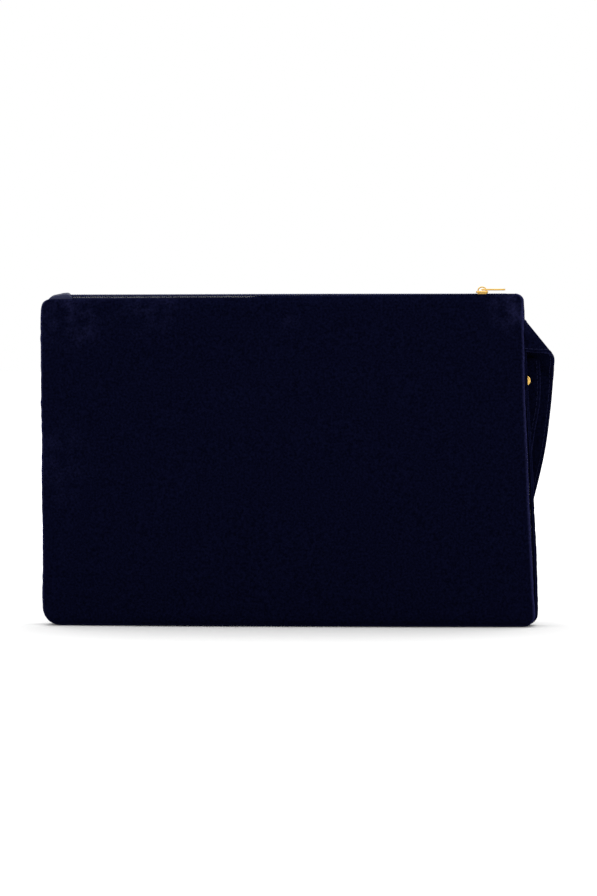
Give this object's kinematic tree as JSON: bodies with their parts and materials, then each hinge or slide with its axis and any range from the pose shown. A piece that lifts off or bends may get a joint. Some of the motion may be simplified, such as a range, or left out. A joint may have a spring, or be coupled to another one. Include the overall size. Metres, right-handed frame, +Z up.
{
  "type": "zippered pouch",
  "caption": "Flat velvet pouch with a coil zip along the top, a metal slider with a pull tab, a lined inside and a looped wrist strap sewn into one side seam.",
  "frame": {"origin": "on the underside, at the middle of the bottom seam's width and below the zip's centre line", "axes": "+X along the width towards the strap's side, +Y towards the back panel, +Z up"},
  "size_m": [0.3115, 0.039, 0.2058],
  "materials": {
    "velvet": "dark navy cut-pile velvet",
    "interlining": "off-white non-woven interlining",
    "lining": "navy satin-weave polyester lining",
    "zip_tape": "woven navy polyester tape",
    "nylon_coil": "navy nylon monofilament coil",
    "satin": "blue satin, folded",
    "gold_plate": "polished gold-plated zinc"
  },
  "bodies": {
    "back_half": {"back_panel": "velvet", "interlining_back": "interlining", "lining_back": "lining", "zip_tape_back": "zip_tape", "zip_coil_back": "nylon_coil", "zip_end_tab_left": "satin", "zip_end_tab_right": "satin"},
    "front_half": {"front_panel": "velvet", "interlining_front": "interlining", "lining_front": "lining", "zip_tape_front": "zip_tape", "zip_coil_front": "nylon_coil"},
    "slider": {"slider_body": "gold_plate", "slider_bridge": "gold_plate"},
    "puller": {"pull_tab": "gold_plate"},
    "strap_base": {"strap_root": "velvet"},
    "strap_hanging": {"strap_loop": "velvet", "stud_cap": "gold_plate", "stud_post": "gold_plate"}
  },
  "joints": [
    {"name": "mouth_open", "type": "hinge", "parent": "back_half", "child": "front_half", "pos_m": [0, -0.0115, 0.0015], "axis": [1, 0, 0], "range_deg": [0, 10], "deforming": ["zip_tape_front", "zip_coil_front"]},
    {"name": "zip_travel", "type": "slide", "parent": "back_half", "child": "slider", "axis": [1, 0, 0], "range_m": [-0.244, 0]},
    {"name": "pull_flip", "type": "hinge", "parent": "slider", "child": "puller", "pos_m": [0.117, 0, 0.2038], "axis": [0, -1, 0], "range_deg": [0, 180]},
    {"name": "strap_swing", "type": "hinge", "parent": "back_half", "child": "strap_base", "pos_m": [0.14463, -0.003, 0.177], "axis": [0, 0, -1], "range_deg": [0, 90]},
    {"name": "strap_lift", "type": "hinge", "parent": "strap_base", "child": "strap_hanging", "pos_m": [0.15, 0.011, 0.172], "axis": [0, -1, 0], "range_deg": [0, 120]}
  ],
  "couplings": [
    {"joint": "zip_travel", "follows": "mouth_open", "m_per_rad": -1.398}
  ]
}
